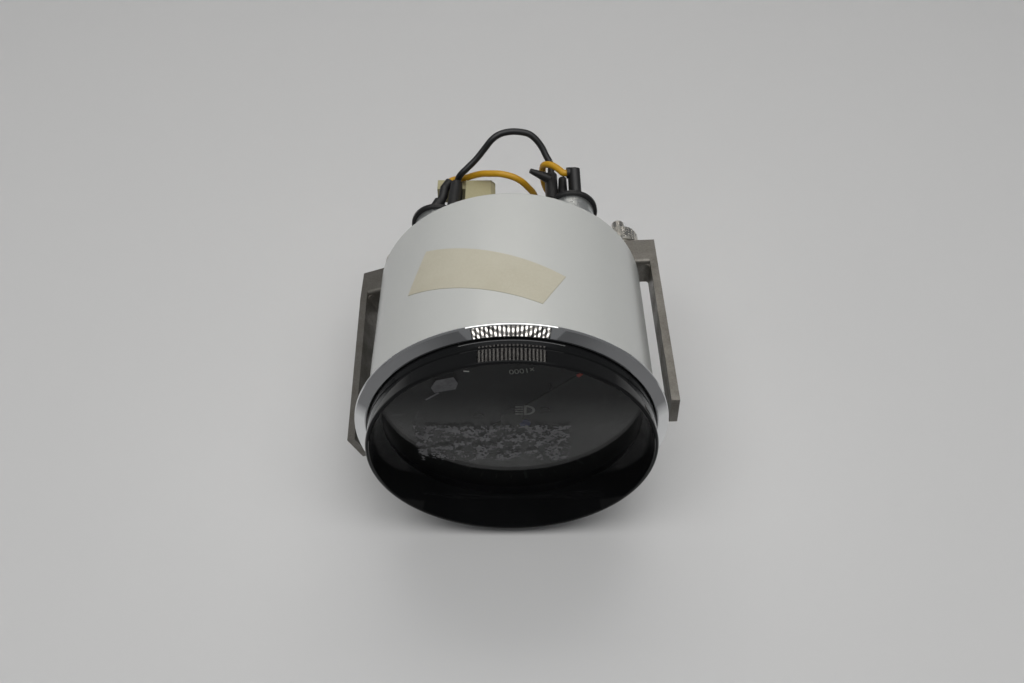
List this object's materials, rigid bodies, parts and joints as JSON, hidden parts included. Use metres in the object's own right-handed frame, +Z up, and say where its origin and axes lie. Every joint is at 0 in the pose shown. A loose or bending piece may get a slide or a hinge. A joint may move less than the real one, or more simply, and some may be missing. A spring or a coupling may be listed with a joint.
{
  "type": "car tachometer",
  "caption": "Round panel tachometer with a deep black shroud, chrome ring, painted steel case, pointer movement, push-in lamps, leads, connector and two swivelling rear clamps.",
  "frame": {"origin": "on the gauge's axis, in the plane of the chrome ring's flat rear face, which sits on the panel", "axes": "+Y along the axis towards the rear, +X to the right seen from the front, +Z up; the gauge lies as pictured, so the dial's top points to -Z, and the studs lie 8 degrees off X"},
  "size_m": [0.1156, 0.1147, 0.106],
  "materials": {
    "white_paint": "semi-gloss greenish white paint on thin steel",
    "bright_chrome": "mirror chrome plate",
    "black_plastic": "smooth black moulded plastic",
    "clear_glass": "clear flat glass",
    "black_rubber": "soft black rubber",
    "black_enamel": "matt black enamel",
    "blue_lens": "blue tinted clear plastic",
    "led_clear": "clear moulded lamp",
    "orange_pointer": "orange-red paint",
    "bare_steel": "bare, slightly brown steel",
    "bright_steel": "zinc-plated steel",
    "dark_magnet": "dark sintered magnet",
    "spring_bronze": "thin bronze strip",
    "bearing_brass": "turned brass",
    "bobbin_plastic": "moulded plastic",
    "copper_wire": "enamelled copper wire",
    "box_white": "white moulded plastic",
    "board_green": "green glass-fibre board",
    "chip_black": "moulded epoxy",
    "cap_blue": "shrink sleeve on an aluminium can",
    "resistor_tan": "lacquered ceramic",
    "trimmer_blue": "moulded plastic",
    "trimmer_white": "moulded plastic",
    "lamp_metal": "bright drawn metal",
    "lamp_glass": "clear glass",
    "terminal_tin": "tinned brass",
    "black_wire": "black insulation",
    "yellow_wire": "yellow insulation",
    "nylon_cream": "aged cream nylon",
    "label_paper": "aged cream paper"
  },
  "bodies": {
    "case": {"can": "white_paint", "bezel_ring": "bright_chrome", "front_shroud": "black_plastic", "front_glass": "clear_glass", "glass_seal": "black_rubber", "spacer_ring": "black_plastic", "dial_plate": "black_enamel", "dial_screws": "black_enamel", "main_beam_lens": "blue_lens", "main_beam_led": "led_clear", "pointer_stop": "bare_steel", "movement_plate": "bright_steel", "movement_cup": "bright_steel", "front_bearing": "bearing_brass", "rear_bearing": "bearing_brass", "coil_bobbin": "bobbin_plastic", "inner_winding": "copper_wire", "outer_winding": "copper_wire", "light_box": "box_white", "circuit_board": "board_green", "board_pillars": "bearing_brass", "case_screws": "bright_steel", "driver_chip": "chip_black", "capacitors": "cap_blue", "resistors": "resistor_tan", "trimmer_body": "trimmer_blue", "mounting_studs": "bright_steel", "lock_nuts": "bright_steel", "lamp_shells": "lamp_metal", "lamp_holder_left": "black_plastic", "lamp_holder_right": "black_plastic", "bulb_bases": "terminal_tin", "bulb_glasses": "lamp_glass", "blade_terminals": "terminal_tin", "terminal_sleeves": "black_rubber", "black_lead": "black_wire", "yellow_lead": "yellow_wire", "connector_housing": "nylon_cream", "connector_pins": "terminal_tin", "paper_label": "label_paper"},
    "pointer_group": {"pointer": "orange_pointer", "pointer_hub": "black_plastic", "pointer_shaft": "bright_steel", "magnet_rotor": "dark_magnet", "hairspring": "spring_bronze"},
    "trimmer": {"trimmer_rotor": "trimmer_white"},
    "left_washer": {"washer_left": "bright_steel"},
    "left_clamp": {"clamp_left": "bare_steel"},
    "left_nut": {"thumb_nut_left": "bright_steel"},
    "right_washer": {"washer_right": "bright_steel"},
    "right_clamp": {"clamp_right": "bare_steel"},
    "right_nut": {"thumb_nut_right": "bright_steel"}
  },
  "joints": [
    {"name": "pointer_sweep", "type": "hinge", "parent": "case", "child": "pointer_group", "pos_m": [0, 0.005, 0], "axis": [0, 1, 0], "range_deg": [0, 257], "stiffness_Nm_per_rad": 0.00002, "springref_deg": -20.05},
    {"name": "trimmer_turn", "type": "hinge", "parent": "case", "child": "trimmer", "pos_m": [0.02092, 0.0589, -0.00514], "axis": [0, 1, 0], "range_deg": [-135, 135]},
    {"name": "left_clamp_slide", "type": "slide", "parent": "case", "child": "left_washer", "axis": [0, 1, 0], "range_m": [-0.0004, 0.006]},
    {"name": "left_clamp_swivel", "type": "hinge", "parent": "left_washer", "child": "left_clamp", "pos_m": [-0.04357, 0.07, -0.00612], "axis": [0, 1, 0], "range_deg": [-21, 53]},
    {"name": "left_nut_turn", "type": "hinge", "parent": "left_washer", "child": "left_nut", "pos_m": [-0.04357, 0.085, -0.00612], "axis": [0, 1, 0], "range_deg": [-181, 2701]},
    {"name": "right_clamp_slide", "type": "slide", "parent": "case", "child": "right_washer", "axis": [0, 1, 0], "range_m": [-0.0004, 0.006]},
    {"name": "right_clamp_swivel", "type": "hinge", "parent": "right_washer", "child": "right_clamp", "pos_m": [0.04357, 0.07, 0.00612], "axis": [0, 1, 0], "range_deg": [-39, 29]},
    {"name": "right_nut_turn", "type": "hinge", "parent": "right_washer", "child": "right_nut", "pos_m": [0.04357, 0.085, 0.00612], "axis": [0, 1, 0], "range_deg": [-181, 2701]}
  ],
  "couplings": [
    {"joint": "left_nut_turn", "follows": "left_clamp_slide", "rad_per_m": 7854},
    {"joint": "right_nut_turn", "follows": "right_clamp_slide", "rad_per_m": 7854}
  ]
}
